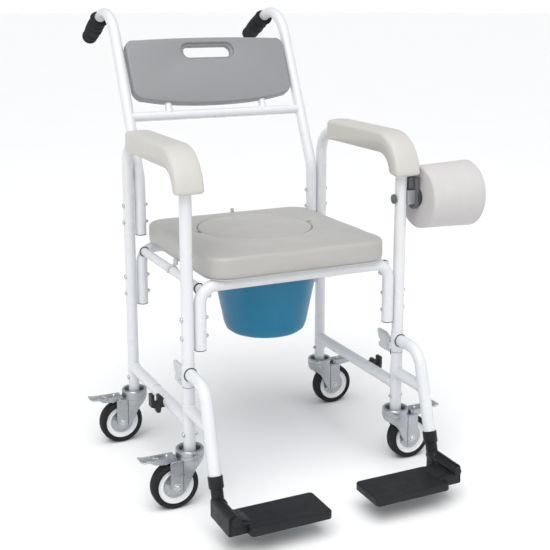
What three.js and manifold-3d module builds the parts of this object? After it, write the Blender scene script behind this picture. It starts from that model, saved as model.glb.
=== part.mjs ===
// Commode chair on casters: a wheeled steel frame with a lift-off seat, lift-out bucket and
// two swing-away footrests. Units are millimetres, +Z is up and the sitter faces -Y.
import * as THREE from "three";
import { mergeVertices } from "three/addons/utils/BufferGeometryUtils.js";
import Module from "manifold-3d";

const wasm = await Module();
wasm.setup();

// ---------------------------------------------------------------- driving dimensions
const GAP = 0.3; // clearance between parts that touch
const TUBE_R = 12.7; // one-inch frame tube
const LEG_X = 247.4; // side frames, measured from the middle of the chair
const LEG_Y = 182.2; // front and rear legs
const LEG_BOTTOM = 117.2;
const ARM_Z = 713; // axis of the tube under the armrest
const ARM_BEND = 60;
const SIDE_RAIL_Z = 178.9;

const INNER_X = 220.1; // seat frame legs and back posts stand inside the outer legs
const SEAT_FRAME_Z = 461.5;
const SEAT_FRAME_BOTTOM = 330.2;
const SEAT_FRAME_BEND = 35;
const SEAT_TUBE_X = 217;
const SEAT_TUBE_Z = 455.5;
const SEAT_TUBE_R = 9.5;
const BUCKET_RAIL_X = 129;

const POST_BOTTOM = 494.2;
const POST_BEND_Z = 623; // where the posts start to recline
const RECLINE = THREE.MathUtils.degToRad(25.8);
const HANDLE_DROP = THREE.MathUtils.degToRad(27);
const POST_LENGTH = 441; // along the recline, to the corner of the handle bend
const HANDLE_BEND = 90;
const GRIP_START = 92.2; // from that corner to the grip's flange
const GRIP_LENGTH = 116;
const CROSSBAR_S = 147.8; // heights on the reclined plane are measured from the bend
const CROSSBAR_R = 11;
const STUB_X = 120.5;
const STUB_R = 8;

const BACKREST = { halfWidth: 203, low: 171, high: 337, sag: 15, thickness: 26, corner: 26 };
const BACKREST_SLOT = { s: 304, halfLength: 62, halfHeight: 15 };

const SEAT = { halfWidth: 208, front: -216, rear: 206, bottom: 476, top: 522.5, corner: 53 };
const LID = { y: 35, radius: 129.2, thickness: 15 };
const BUCKET = { y: -18.5, bottom: 296.8, bottomRadius: 88, rimZ: 468.3, rimRadius: 122.3 };

const CASTER_TRAIL = 35.2;
const WHEEL_R = 50;
const WHEEL_WIDTH = 30;
const CASTER_HEAD_R = 29.5;
const FORK_ARM_Y = 18.5; // middle of each fork arm's plate

const HANGER_TOP_Z = 285;
const HANGER_CORNER_Y = -269.4;
const HANGER_BEND = 45;
const HANGER_LEAN = THREE.MathUtils.degToRad(16.75);
const STRUT_Z = 208;
const COLLAR_R = 14.8;
const ELBOW_Z = 120; // where the elbow takes over from the hanger tube
const HINGE_Z = 72; // axis the footplate flips about
const HINGE_FRONT = -418; // front end of the hinge barrel and its hood
const HOOD_R = 13.6;
const HOOD_INNER_R = 10.9;
const FOOTPLATE = { inner: 50, outer: 223, front: -437, rear: -346, top: 57.5, thickness: 17 };

const ROLL = { z: 602.5, inner: 289, outer: 420, radius: 72.5, core: 20 };

// ---------------------------------------------------------------- materials
function material(color, roughness, metalness = 0) {
  return new THREE.MeshStandardMaterial({ color, roughness, metalness });
}
const paint = () => material(0xf1f2f3, 0.3, 0.1);
const vinyl = () => material(0xbab9b5, 0.45);
const foam = () => material(0xdcdad4, 0.6);
const black = () => material(0x2a2c2f, 0.6);
const zinc = () => material(0xa0a8b0, 0.35, 0.9);

// ---------------------------------------------------------------- helpers
const vec = (x, y, z) => new THREE.Vector3(x, y, z);
const chair = new THREE.Group();
chair.name = "commode_chair";

function flipped(geometry) {
  const index = geometry.index.array;
  for (let i = 0; i < index.length; i += 3) {
    [index[i + 1], index[i + 2]] = [index[i + 2], index[i + 1]];
  }
  return geometry;
}

// A manifold-3d solid from a closed three.js geometry.
function solid(geometry) {
  const bare = geometry.clone();
  bare.deleteAttribute("normal");
  bare.deleteAttribute("uv");
  const merged = mergeVertices(bare, 1e-3);
  const build = () =>
    new wasm.Manifold(
      new wasm.Mesh({
        numProp: 3,
        vertProperties: merged.attributes.position.array,
        triVerts: new Uint32Array(merged.index.array),
      })
    );
  const made = build();
  if (made.volume() > 0) return made;
  flipped(merged);
  return build();
}

function geometryOf(shape) {
  const mesh = shape.getMesh();
  const geometry = new THREE.BufferGeometry();
  geometry.setAttribute("position", new THREE.BufferAttribute(mesh.vertProperties, 3));
  geometry.setIndex(new THREE.BufferAttribute(mesh.triVerts, 1));
  return geometry;
}

// The same solid on the other side of the chair when side is -1.
function onSide(shape, side) {
  const geometry = geometryOf(shape);
  if (side < 0) flipped(geometry.scale(-1, 1, 1));
  return solid(geometry);
}

function place(name, shape, look) {
  const flat = geometryOf(shape).toNonIndexed();
  flat.computeVertexNormals();
  const mesh = new THREE.Mesh(flat, look);
  mesh.name = name;
  chair.add(mesh);
}

// Straight runs between corners, every inner corner rounded to one radius.
class BentPath extends THREE.Curve {
  constructor(corners, radius, steps) {
    super();
    this.stops = [];
    this.tangents = [];
    const stop = (point, tangent) => {
      this.stops.push(point);
      this.tangents.push(tangent);
    };
    const heading = (i) => corners[i + 1].clone().sub(corners[i]).normalize();
    stop(corners[0], heading(0));
    for (let i = 1; i < corners.length - 1; i += 1) {
      const into = heading(i - 1);
      const out = heading(i);
      const turn = into.angleTo(out);
      const inward = out.clone().addScaledVector(into, -into.dot(out)).normalize();
      const bend = Array.isArray(radius) ? radius[i - 1] : radius;
      const centre = corners[i].clone();
      centre.addScaledVector(into, -bend * Math.tan(turn / 2)).addScaledVector(inward, bend);
      const count = Math.max(2, Math.round((steps * turn) / (Math.PI / 2)));
      for (let k = 0; k <= count; k += 1) {
        const angle = (turn * k) / count;
        const point = centre.clone();
        point.addScaledVector(inward, -bend * Math.cos(angle));
        point.addScaledVector(into, bend * Math.sin(angle));
        const tangent = into.clone().multiplyScalar(Math.cos(angle));
        stop(point, tangent.addScaledVector(inward, Math.sin(angle)));
      }
    }
    stop(corners[corners.length - 1], heading(corners.length - 2));
  }

  getPointAt(u) {
    return this.stops[Math.round(u * (this.stops.length - 1))].clone();
  }

  getTangentAt(u) {
    return this.tangents[Math.round(u * (this.tangents.length - 1))].clone();
  }
}

function sweep(section, corners, bend = 0, steps = 6) {
  const path = new BentPath(corners, bend, steps);
  const options = { extrudePath: path, steps: path.stops.length - 1 };
  return solid(new THREE.ExtrudeGeometry(section, options));
}

function circle(radius, sides = 16) {
  const points = [];
  for (let i = 0; i < sides; i += 1) {
    const angle = (2 * Math.PI * i) / sides;
    points.push(new THREE.Vector2(radius * Math.cos(angle), radius * Math.sin(angle)));
  }
  return new THREE.Shape(points);
}

function tube(corners, radius = TUBE_R, bend = 0, sides = 16, steps = 6) {
  return sweep(circle(radius, sides), corners, bend, steps);
}

// A turned part about +Z from [radius, height] pairs.
function turned(profile, segments = 24) {
  const points = profile.map(([r, h]) => new THREE.Vector2(r, h));
  const lathe = new THREE.LatheGeometry(points, segments);
  return solid(lathe.rotateX(Math.PI / 2));
}

// A hollow turned part: the profile closes on itself instead of on the axis.
function ring(profile, segments = 24) {
  return turned([...profile, profile[0]], segments);
}

function box(x0, x1, y0, y1, z0, z1) {
  const geometry = new THREE.BoxGeometry(x1 - x0, y1 - y0, z1 - z0);
  return solid(geometry.translate((x0 + x1) / 2, (y0 + y1) / 2, (z0 + z1) / 2));
}

// A flat shape in XY given thickness along Z, with an optional rounded edge.
function slab(shape, z0, z1, edge = 0, edgeSteps = 2, curveSegments = 6) {
  const geometry = new THREE.ExtrudeGeometry(shape, {
    depth: z1 - z0 - 2 * edge,
    bevelEnabled: edge > 0,
    bevelThickness: edge,
    bevelSize: edge,
    bevelOffset: -edge,
    bevelSegments: edgeSteps,
    curveSegments,
  });
  return geometry.translate(0, 0, z0 + edge);
}

// A flat shape in the YZ plane given thickness along X.
function plateYZ(points, x0, x1) {
  const shape = new THREE.Shape(points.map(([y, z]) => new THREE.Vector2(y, z)));
  const geometry = slab(shape, x0, x1);
  geometry.applyMatrix4(new THREE.Matrix4().makeBasis(vec(0, 1, 0), vec(0, 0, 1), vec(1, 0, 0)));
  return solid(geometry);
}

// A flat shape in the XZ plane given thickness along Y.
function plateXZ(points, y0, y1) {
  const shape = new THREE.Shape(points.map(([x, z]) => new THREE.Vector2(x, z)));
  const geometry = slab(shape, -y1, -y0);
  geometry.rotateX(Math.PI / 2);
  return solid(geometry);
}

function roundedRectangle(x0, x1, y0, y1, radius) {
  const shape = new THREE.Shape();
  shape.absarc(x1 - radius, y1 - radius, radius, 0, Math.PI / 2);
  shape.absarc(x0 + radius, y1 - radius, radius, Math.PI / 2, Math.PI);
  shape.absarc(x0 + radius, y0 + radius, radius, Math.PI, 1.5 * Math.PI);
  shape.absarc(x1 - radius, y0 + radius, radius, 1.5 * Math.PI, 2 * Math.PI);
  return shape;
}

const SIDES = [
  ["right", -1],
  ["left", 1],
];
const ENDS = [
  ["front", -1],
  ["rear", 1],
];

// ---------------------------------------------------------------- steel frame
function sideFrame(side, radius) {
  const x = side * LEG_X;
  const corners = [
    vec(x, LEG_Y, LEG_BOTTOM),
    vec(x, LEG_Y, ARM_Z),
    vec(x, -LEG_Y, ARM_Z),
    vec(x, -LEG_Y, LEG_BOTTOM),
  ];
  return tube(corners, radius, ARM_BEND, 16, 5);
}

function seatFrame(end, radius) {
  const y = end * LEG_Y;
  const corners = [
    vec(-INNER_X, y, SEAT_FRAME_BOTTOM),
    vec(-INNER_X, y, SEAT_FRAME_Z),
    vec(INNER_X, y, SEAT_FRAME_Z),
    vec(INNER_X, y, SEAT_FRAME_BOTTOM),
  ];
  return tube(corners, radius, SEAT_FRAME_BEND, 16, 5);
}

// A point on the reclined plane: s up the slope from the bend, out towards the sitter.
function reclined(x, s, out = 0) {
  return vec(
    x,
    LEG_Y + s * Math.sin(RECLINE) - out * Math.cos(RECLINE),
    POST_BEND_Z + s * Math.cos(RECLINE) + out * Math.sin(RECLINE)
  );
}

const handleHeading = vec(0, Math.cos(HANDLE_DROP), -Math.sin(HANDLE_DROP));

function backPost(side, radius) {
  const x = side * INNER_X;
  const corner = reclined(x, POST_LENGTH);
  const end = corner.clone().addScaledVector(handleHeading, GRIP_START + GRIP_LENGTH - 12);
  const corners = [vec(x, LEG_Y, POST_BOTTOM), vec(x, LEG_Y, POST_BEND_Z), corner, end];
  return tube(corners, radius, [80, HANDLE_BEND]);
}

function straightLeg(side, end, radius) {
  const [x, y] = [side * LEG_X, end * LEG_Y];
  return tube([vec(x, y, LEG_BOTTOM), vec(x, y, ARM_Z - ARM_BEND)], radius);
}

const seatFrameCuts = ENDS.map(([, end]) => seatFrame(end, TUBE_R + GAP));

for (const [name, end] of ENDS) {
  place("seat_frame_" + name, seatFrame(end, TUBE_R), paint());
}

for (const [name, side] of SIDES) {
  place("side_frame_" + name, sideFrame(side, TUBE_R), paint());

  const railX = side * LEG_X;
  let rail = tube([vec(railX, 6 - LEG_Y, SIDE_RAIL_Z), vec(railX, LEG_Y - 6, SIDE_RAIL_Z)]);
  for (const [, end] of ENDS) rail = rail.subtract(straightLeg(side, end, TUBE_R + GAP));
  place("side_rail_" + name, rail, paint());

  const tubeX = side * SEAT_TUBE_X;
  const seatTubeEnds = [vec(tubeX, 6 - LEG_Y, SEAT_TUBE_Z), vec(tubeX, LEG_Y - 6, SEAT_TUBE_Z)];
  let seatTube = tube(seatTubeEnds, SEAT_TUBE_R);
  for (const cut of seatFrameCuts) seatTube = seatTube.subtract(cut);
  place("seat_tube_" + name, seatTube, paint());

  const barX = side * BUCKET_RAIL_X;
  let bucketRail = box(barX - 5, barX + 5, 6 - LEG_Y, LEG_Y - 6, BUCKET.rimZ - 10, BUCKET.rimZ - GAP);
  for (const cut of seatFrameCuts) bucketRail = bucketRail.subtract(cut);
  place("bucket_rail_" + name, bucketRail, paint());

  place("back_post_" + name, backPost(side, TUBE_R), paint());
}

// Crossbar between the posts, with the two stubs that carry the backrest pad.
let crossbar = tube([reclined(-INNER_X, CROSSBAR_S), reclined(INNER_X, CROSSBAR_S)], CROSSBAR_R);
for (const [, side] of SIDES) {
  crossbar = crossbar.subtract(backPost(side, TUBE_R + GAP));
  const stub = [reclined(side * STUB_X, CROSSBAR_S), reclined(side * STUB_X, BACKREST.low + 35)];
  crossbar = crossbar.add(tube(stub, STUB_R, 0, 10));
}
place("back_crossbar", crossbar, paint());

// ---------------------------------------------------------------- backrest and grips
function backrestOutline() {
  const { halfWidth, low, high, sag, corner } = BACKREST;
  const shape = new THREE.Shape();
  shape.moveTo(-halfWidth, low + sag + corner);
  shape.quadraticCurveTo(-halfWidth, low + sag + 3, 2 * corner - halfWidth, low + sag - 9);
  shape.quadraticCurveTo(0, low - sag / 2 + 1, halfWidth - 2 * corner, low + sag - 9);
  shape.quadraticCurveTo(halfWidth, low + sag + 3, halfWidth, low + sag + corner);
  shape.absarc(halfWidth - 20, high - 24, 20, 0, Math.PI / 2);
  shape.quadraticCurveTo(0, high + 4, 20 - halfWidth, high - 4);
  shape.absarc(20 - halfWidth, high - 24, 20, Math.PI / 2, Math.PI);
  return shape;
}

const slot = BACKREST_SLOT;
const slotPath = new THREE.Path();
slotPath.absarc(slot.halfLength - slot.halfHeight, slot.s, slot.halfHeight, -Math.PI / 2, Math.PI / 2);
slotPath.absarc(slot.halfHeight - slot.halfLength, slot.s, slot.halfHeight, Math.PI / 2, 1.5 * Math.PI);

const backrestShape = backrestOutline();
backrestShape.holes.push(slotPath);
const half = BACKREST.thickness / 2;
const backrestGeometry = slab(backrestShape, -half, half, 5, 1, 4);
const reclinedBasis = new THREE.Matrix4().makeBasis(
  vec(1, 0, 0),
  vec(0, Math.sin(RECLINE), Math.cos(RECLINE)),
  vec(0, -Math.cos(RECLINE), Math.sin(RECLINE))
);
backrestGeometry.applyMatrix4(reclinedBasis.setPosition(0, LEG_Y, POST_BEND_Z));
let backrest = solid(backrestGeometry);
for (const [, side] of SIDES) {
  const bore = [reclined(side * STUB_X, CROSSBAR_S), reclined(side * STUB_X, BACKREST.low + 36)];
  backrest = backrest.subtract(tube(bore, STUB_R + 2 * GAP, 0, 10));
}
place("backrest_pad", backrest, material(0x9ea0a2, 0.5));

const gripProfile = [
  [0, GRIP_LENGTH],
  [13.5, GRIP_LENGTH],
  [18.8, GRIP_LENGTH - 4],
  [18.8, GRIP_LENGTH - 16],
  [20.3, 68],
  [20.3, 32],
  [17, 9],
  [21, 6],
  [21, 0],
  [TUBE_R + 2 * GAP, 0],
  [TUBE_R + 2 * GAP, GRIP_LENGTH - 11],
  [0, GRIP_LENGTH - 11],
];
for (const [name, side] of SIDES) {
  const start = reclined(side * INNER_X, POST_LENGTH).addScaledVector(handleHeading, GRIP_START);
  const turn = new THREE.Quaternion().setFromUnitVectors(vec(0, 0, 1), handleHeading);
  const pose = new THREE.Matrix4().compose(start, turn, vec(1, 1, 1));
  const grip = geometryOf(turned(gripProfile, 16)).applyMatrix4(pose);
  place("push_grip_" + name, solid(grip), black());
}

// ---------------------------------------------------------------- armrests
// The section's X points into the bend, so the padded outer face is at -X and Y is the width.
function armrestSection() {
  const shape = new THREE.Shape();
  shape.moveTo(16.5, -19);
  shape.lineTo(16.5, 19);
  shape.lineTo(0, 30.5);
  shape.lineTo(-15, 30.5);
  shape.quadraticCurveTo(-33.5, 29, -33.5, 9);
  shape.lineTo(-33.5, -9);
  shape.quadraticCurveTo(-33.5, -29, -15, -30.5);
  shape.lineTo(0, -30.5);
  return new THREE.Shape(shape.getPoints(3));
}

for (const [name, side] of SIDES) {
  const x = side * LEG_X;
  const corners = [vec(x, 102, ARM_Z), vec(x, -LEG_Y, ARM_Z), vec(x, -LEG_Y, 655)];
  const longer = [vec(x, 110, ARM_Z), vec(x, -LEG_Y, ARM_Z), vec(x, -LEG_Y, 640)];
  const pad = sweep(armrestSection(), corners, ARM_BEND, 5);
  const bore = tube(longer, TUBE_R + 2 * GAP, ARM_BEND, 16, 5);
  place("armrest_pad_" + name, pad.subtract(bore), foam());
}

// ---------------------------------------------------------------- seat, lid and bucket
const seatOutline = roundedRectangle(-SEAT.halfWidth, SEAT.halfWidth, SEAT.front, SEAT.rear, SEAT.corner);
let seat = solid(slab(seatOutline, SEAT.bottom, SEAT.top, 8, 2, 4));
const lidFloor = SEAT.top - 0.5 - LID.thickness;
const disc = (radius, z0, z1) => [[0, z0], [radius, z0], [radius, z1], [0, z1]];
const recess = turned(disc(LID.radius + 0.6, lidFloor - GAP, 560), 32);
const aperture = turned(disc(90, 440, 560), 24);
seat = seat.subtract(recess.translate([0, LID.y, 0])).subtract(aperture.translate([0, 4, 0]));
for (const [, side] of SIDES) {
  const notch = turned(disc(9, SEAT.top - 14, 560), 10);
  seat = seat.subtract(notch.translate([side * (LID.radius + 1), LID.y, 0]));
}
place("seat_pad", seat, vinyl());

const lidProfile = [
  [0, lidFloor],
  [LID.radius, lidFloor],
  [LID.radius, SEAT.top - 2.5],
  [LID.radius - 2, SEAT.top - 0.5],
  [0, SEAT.top - 0.5],
];
place("seat_lid", turned(lidProfile, 32).translate([0, LID.y, 0]), vinyl());

const slope = (BUCKET.rimRadius - BUCKET.bottomRadius) / (BUCKET.rimZ - BUCKET.bottom);
const wallAt = (z) => BUCKET.bottomRadius + slope * (z - BUCKET.bottom);
const bucketProfile = [
  [0, BUCKET.bottom],
  [wallAt(BUCKET.bottom) - 22, BUCKET.bottom],
  [wallAt(BUCKET.bottom) - 6, BUCKET.bottom + 6],
  [wallAt(BUCKET.bottom + 22), BUCKET.bottom + 22],
  [BUCKET.rimRadius, BUCKET.rimZ],
  [132.5, BUCKET.rimZ],
  [132.5, BUCKET.rimZ + 3],
  [BUCKET.rimRadius - 2.5, BUCKET.rimZ + 3],
  [wallAt(BUCKET.bottom + 22) - 3, BUCKET.bottom + 23],
  [wallAt(BUCKET.bottom) - 10, BUCKET.bottom + 8],
  [wallAt(BUCKET.bottom) - 24, BUCKET.bottom + 3],
  [0, BUCKET.bottom + 3],
];
place("bucket", turned(bucketProfile, 24).translate([0, BUCKET.y, 0]), material(0x2e7494, 0.35));

// ---------------------------------------------------------------- casters
const headProfile = [
  [0, 103],
  [27, 103],
  [CASTER_HEAD_R, 105],
  [CASTER_HEAD_R, 122.5],
  [27, 125],
  [22.5, 125],
  [22.5, LEG_BOTTOM - 0.6],
  [0, LEG_BOTTOM - 0.6],
];
const forkArm = [
  [-10, 92],
  [-10, 114],
  [50, 114],
  [50, 100],
  [49, 50],
  [47, 43],
  [42, 38],
  [CASTER_TRAIL, 36],
  [27, 37],
  [20, 40.5],
  [12, 49],
  [5, 64],
  [-3, 80],
];
const pedalProfile = [
  [34, 109],
  [34, 114.5],
  [100, 114.5],
  [109, 117.5],
  [110, 115],
  [101, 111],
  [60, 111],
  [58, 99.5],
  [46, 102.5],
  [46, 106],
];
const tyreProfile = [
  [37, -12.5],
  [44.5, -WHEEL_WIDTH / 2],
  [48.5, -12.5],
  [WHEEL_R, -7],
  [WHEEL_R, 7],
  [48.5, 12.5],
  [44.5, WHEEL_WIDTH / 2],
  [37, 12.5],
];
const rimProfile = [
  [5, -16.3],
  [12, -16.3],
  [14, -8],
  [36.6, -11.5],
  [36.6, 11.5],
  [14, 8],
  [12, 16.3],
  [5, 16.3],
];

// Built with the stem on the Z axis and the wheel trailing towards +X.
function casterParts() {
  const skirt = ring([[17, 92], [20, 92], [20, 105], [17, 105]], 16).subtract(box(0, 30, -30, 30, 80, 110));
  let fork = turned(headProfile, 16).add(skirt).add(box(0, 30, -20, 20, 103, 107));
  for (const side of [-1, 1]) {
    const armY = side * FORK_ARM_Y;
    fork = fork.add(plateXZ(forkArm, armY - 1.5, armY + 1.5));
  }
  fork = fork.add(tube([vec(CASTER_TRAIL, -23, WHEEL_R), vec(CASTER_TRAIL, 23, WHEEL_R)], 4.2, 0, 8));
  const onAxle = (profile) => {
    const geometry = geometryOf(ring(profile, 16)).rotateX(Math.PI / 2);
    return solid(geometry.translate(CASTER_TRAIL, 0, WHEEL_R));
  };
  const boss = tube([vec(41, -16.6, 109), vec(41, 16.6, 109)], 3.5, 0, 8);
  return {
    fork: [fork, zinc()],
    rim: [onAxle(rimProfile), material(0xf0f0ee, 0.4)],
    tyre: [onAxle(tyreProfile), black()],
    brake_pedal: [plateXZ(pedalProfile, -13, 13).add(boss), zinc()],
  };
}

for (const [endName, end] of ENDS) {
  for (const [sideName, side] of SIDES) {
    for (const [part, [shape, look]] of Object.entries(casterParts())) {
      const moved = onSide(shape, side).translate([side * LEG_X, end * LEG_Y, 0]);
      place(["caster", endName, sideName, part].join("_"), moved, look);
    }
  }
}

// ---------------------------------------------------------------- swing-away footrests
const lean = vec(0, -Math.sin(HANGER_LEAN), -Math.cos(HANGER_LEAN));

function onHanger(z) {
  const y = HANGER_CORNER_Y - (HANGER_TOP_Z - z) * Math.tan(HANGER_LEAN);
  return vec(LEG_X, y, z);
}

function collar(z0, z1) {
  const profile = [[TUBE_R + 2 * GAP, z0], [COLLAR_R, z0], [COLLAR_R, z1], [TUBE_R + 2 * GAP, z1]];
  return ring(profile, 16).translate([LEG_X, -LEG_Y, 0]);
}

function alongY(x, z, y0, y1, radius, sides = 16) {
  return tube([vec(x, y0, z), vec(x, y1, z)], radius, 0, sides);
}

function footrestParts() {
  const elbowTop = onHanger(ELBOW_Z);
  const tubeEnd = elbowTop.clone().addScaledVector(lean, 21.5);
  const corners = [vec(LEG_X, 3 - LEG_Y, HANGER_TOP_Z), vec(LEG_X, HANGER_CORNER_Y, HANGER_TOP_Z), tubeEnd];
  const strut = tube([vec(LEG_X, 3 - LEG_Y, STRUT_Z), onHanger(STRUT_Z)]);
  const legCut = turned([[0, 150], [COLLAR_R + GAP, 150], [COLLAR_R + GAP, 320], [0, 320]], 16);
  const hanger = tube(corners, TUBE_R, HANGER_BEND).add(strut);

  const clevis = box(LEG_X + 5, LEG_X + 8, 12.6 - LEG_Y, 33 - LEG_Y, 257.5, 272)
    .add(box(LEG_X - 8, LEG_X - 5, 12.6 - LEG_Y, 33 - LEG_Y, 257.5, 272))
    .subtract(tube([vec(LEG_X - 12, 26 - LEG_Y, 264), vec(LEG_X + 12, 26 - LEG_Y, 264)], 4, 0, 12));
  const upperCollar = collar(257, 303).add(clevis);

  const downTube = (distance) => elbowTop.clone().addScaledVector(lean, distance);
  const socketBore = tube([downTube(-2), downTube(22)], TUBE_R + 2 * GAP);
  const socket = tube([elbowTop, downTube(24)], 15).subtract(socketBore);
  const hoodArc = [0, 15, 30, 45, 60, 75, 90].map((degrees) => THREE.MathUtils.degToRad(degrees));
  const arcAt = (radius) => (a) => [LEG_X + radius * Math.cos(a), HINGE_Z + radius * Math.sin(a)];
  const hood = [...hoodArc.map(arcAt(HOOD_R)), ...hoodArc.reverse().map(arcAt(HOOD_INNER_R))];
  const elbow = socket
    .add(tube([downTube(22.5), downTube(58)], TUBE_R))
    .add(alongY(LEG_X, HINGE_Z, -326, -351, 13))
    .add(box(LEG_X - 11, LEG_X + HOOD_R, -351, -326, 42, HINGE_Z))
    .add(box(LEG_X + HOOD_INNER_R, LEG_X + HOOD_R, HINGE_FRONT, -350, 42, HINGE_Z))
    .add(plateXZ(hood, HINGE_FRONT, -326))
    .subtract(alongY(LEG_X, HINGE_Z, -329, -360, 5, 12));

  const pinHead = alongY(LEG_X, HINGE_Z, HINGE_FRONT - 1, HINGE_FRONT - 10, 9.5, 12);
  const pin = alongY(LEG_X, HINGE_Z, -329.5, HINGE_FRONT - 2, 4.5, 12).add(pinHead);

  const { inner, outer, front, rear, top, thickness } = FOOTPLATE;
  const plate = solid(slab(roundedRectangle(inner, outer, front, rear, 9), top - thickness, top, 3, 1, 3));
  const web = [[-36, -14.6], [-36, -31], [10.3, -31], [10.3, 0], [0, 7], [-10, -8.5]];
  const knuckle = plateXZ(web.map(([x, z]) => [LEG_X + x, HINGE_Z + z]), HINGE_FRONT + 0.5, -352)
    .add(alongY(LEG_X, HINGE_Z, -352, HINGE_FRONT + 0.5, 10.5))
    .subtract(alongY(LEG_X, HINGE_Z, -340, -430, 5.1, 12));

  const lever = plateYZ(
    [
      [-163, 249],
      [-155, 246],
      [-114, 246.5],
      [-108.5, 251],
      [-109, 257],
      [-118, 262.5],
      [-110, 266],
      [-102.5, 284],
      [-105, 288.5],
      [-136, 288],
      [-150, 280],
      [-163, 270],
    ],
    LEG_X - 4,
    LEG_X + 4
  );
  const leverBoss = tube([vec(LEG_X - 9, 26 - LEG_Y, 264), vec(LEG_X + 9, 26 - LEG_Y, 264)], 3.4, 0, 12);

  return {
    hanger: [hanger.subtract(legCut.translate([LEG_X, -LEG_Y, 0])), paint()],
    collar_upper: [upperCollar, paint()],
    collar_lower: [collar(196, 221), paint()],
    latch_lever: [lever.add(leverBoss), material(0xb9bcbf, 0.4)],
    elbow: [elbow, black()],
    hinge_pin: [pin, black()],
    footplate: [plate.add(knuckle), black()],
  };
}

for (const [sideName, side] of SIDES) {
  for (const [part, [shape, look]] of Object.entries(footrestParts())) {
    place(["footrest", sideName, part].join("_"), onSide(shape, side), look);
  }
}

// ---------------------------------------------------------------- clips on the side rails
for (const [name, side] of SIDES) {
  const profile = [
    [6, -11],
    [16, -12],
    [18, -23],
    [26, -23],
    [28, -12],
    [39, -9],
    [39, 19],
    [31, 19],
    [31, 0],
    [22, 0],
    [22, 15],
    [15, 15],
    [13, 8],
    [6, 8],
  ];
  const points = profile.map(([x, z]) => [LEG_X + x, SIDE_RAIL_Z + z]);
  const rail = tube([vec(LEG_X, -90, SIDE_RAIL_Z), vec(LEG_X, 0, SIDE_RAIL_Z)], TUBE_R + 2 * GAP);
  const clip = plateXZ(points, -59, -41).subtract(rail);
  place("rail_clip_" + name, onSide(clip, side), black());
}

// ---------------------------------------------------------------- paper roll and its holder
function alongX(profile, segments) {
  const geometry = geometryOf(turned(profile, segments)).rotateY(Math.PI / 2);
  return solid(geometry.translate(0, -LEG_Y, ROLL.z));
}

const legBore = straightLeg(1, -1, TUBE_R + 2 * GAP);
const clamp = box(LEG_X + 1, 275, -17 - LEG_Y, 17 - LEG_Y, 590, 622).subtract(legBore);
place("roll_clamp", clamp, zinc());

const arm = box(275 + GAP, 287, -14 - LEG_Y, 16 - LEG_Y, 577, 648)
  .add(box(263, 280, -8 - LEG_Y, 16 - LEG_Y, 622 + GAP, 648));
const spindleEnd = ROLL.outer - 3;
const spindle = alongX([[0, 280], [17, 280], [17, spindleEnd - 3], [15, spindleEnd], [0, spindleEnd]], 20);
place("roll_holder", arm.add(spindle), material(0x5a5e63, 0.5));

const rollProfile = [
  [ROLL.core, ROLL.inner],
  [ROLL.radius - 3, ROLL.inner],
  [ROLL.radius, ROLL.inner + 3],
  [ROLL.radius, ROLL.outer - 3],
  [ROLL.radius - 3, ROLL.outer],
  [ROLL.core, ROLL.outer],
];
place("paper_roll", alongX([...rollProfile, rollProfile[0]], 24), material(0xf2f1ee, 0.95));

const knob = alongX([[0, 227], [9, 227], [10.5, 228.5], [10.5, 232.5], [6, 232.5], [6, 234], [0, 234]], 14);
place("clamp_knob", knob, material(0x6a6e72, 0.5));

// ---------------------------------------------------------------- stand it on its own footprint
const bounds = new THREE.Box3().setFromObject(chair);
const middle = bounds.getCenter(vec(0, 0, 0));
for (const mesh of chair.children) mesh.geometry.translate(-middle.x, -middle.y, -bounds.min.z);

export default chair;
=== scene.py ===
"""Commode chair: the looks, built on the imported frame. Lengths below are millimetres from the
middle of the chair, with the floor at z = 0 and the sitter facing -Y; at() turns them into metres."""
import math

import bmesh
import bpy
from mathutils import Matrix, Vector


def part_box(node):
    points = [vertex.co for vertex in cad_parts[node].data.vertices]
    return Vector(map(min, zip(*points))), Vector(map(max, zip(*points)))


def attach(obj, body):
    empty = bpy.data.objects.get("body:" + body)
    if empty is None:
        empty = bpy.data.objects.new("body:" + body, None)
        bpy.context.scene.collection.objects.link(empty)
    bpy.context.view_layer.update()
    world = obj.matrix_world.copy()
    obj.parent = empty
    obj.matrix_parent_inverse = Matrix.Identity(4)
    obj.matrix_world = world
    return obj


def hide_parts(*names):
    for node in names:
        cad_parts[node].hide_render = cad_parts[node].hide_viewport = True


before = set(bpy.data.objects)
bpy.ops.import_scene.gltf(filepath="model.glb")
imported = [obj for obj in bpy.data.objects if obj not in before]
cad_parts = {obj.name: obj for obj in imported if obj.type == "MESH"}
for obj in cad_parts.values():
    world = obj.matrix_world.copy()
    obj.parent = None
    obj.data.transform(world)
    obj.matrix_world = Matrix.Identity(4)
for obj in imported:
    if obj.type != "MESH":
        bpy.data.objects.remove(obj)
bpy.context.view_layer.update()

# ------------------------------------------------------------------ where the chair stands
left_lo, left_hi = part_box("side_frame_left")
right_lo, right_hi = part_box("side_frame_right")
MIDDLE = Vector(((left_lo[0] + right_hi[0]) / 2, (left_lo[1] + left_hi[1]) / 2, 0))
TUBE = (left_hi[0] - left_lo[0]) * 500
LEG_X = (left_lo[0] + left_hi[0]) * 500 - MIDDLE.x * 1000
LEG_Y = (left_hi[1] - left_lo[1]) * 500 - TUBE
INNER_X = 220.1
ARM_Z, LEG_FOOT, RAIL_Z, LEG_BOLT_Z = 713, 117.2, 178.9, 152.8
HOOP_Z, HOOP_FOOT, POST_FOOT, POST_BEND = 461.5, 330.2, 494.2, 623
HANDLE_UP, CROSS_UP, SLOT_UP = 441, 147.8, 303
SIDES = (("right", -1), ("left", 1))
ENDS = (("front", -1), ("rear", 1))
RECLINE = math.radians(25.8)
UP_BACK = Vector((0, math.sin(RECLINE), math.cos(RECLINE)))
OUT_BACK = Vector((0, -math.cos(RECLINE), math.sin(RECLINE)))
DROP = math.radians(27)
HANDLE = Vector((0, math.cos(DROP), -math.sin(DROP)))
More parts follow.
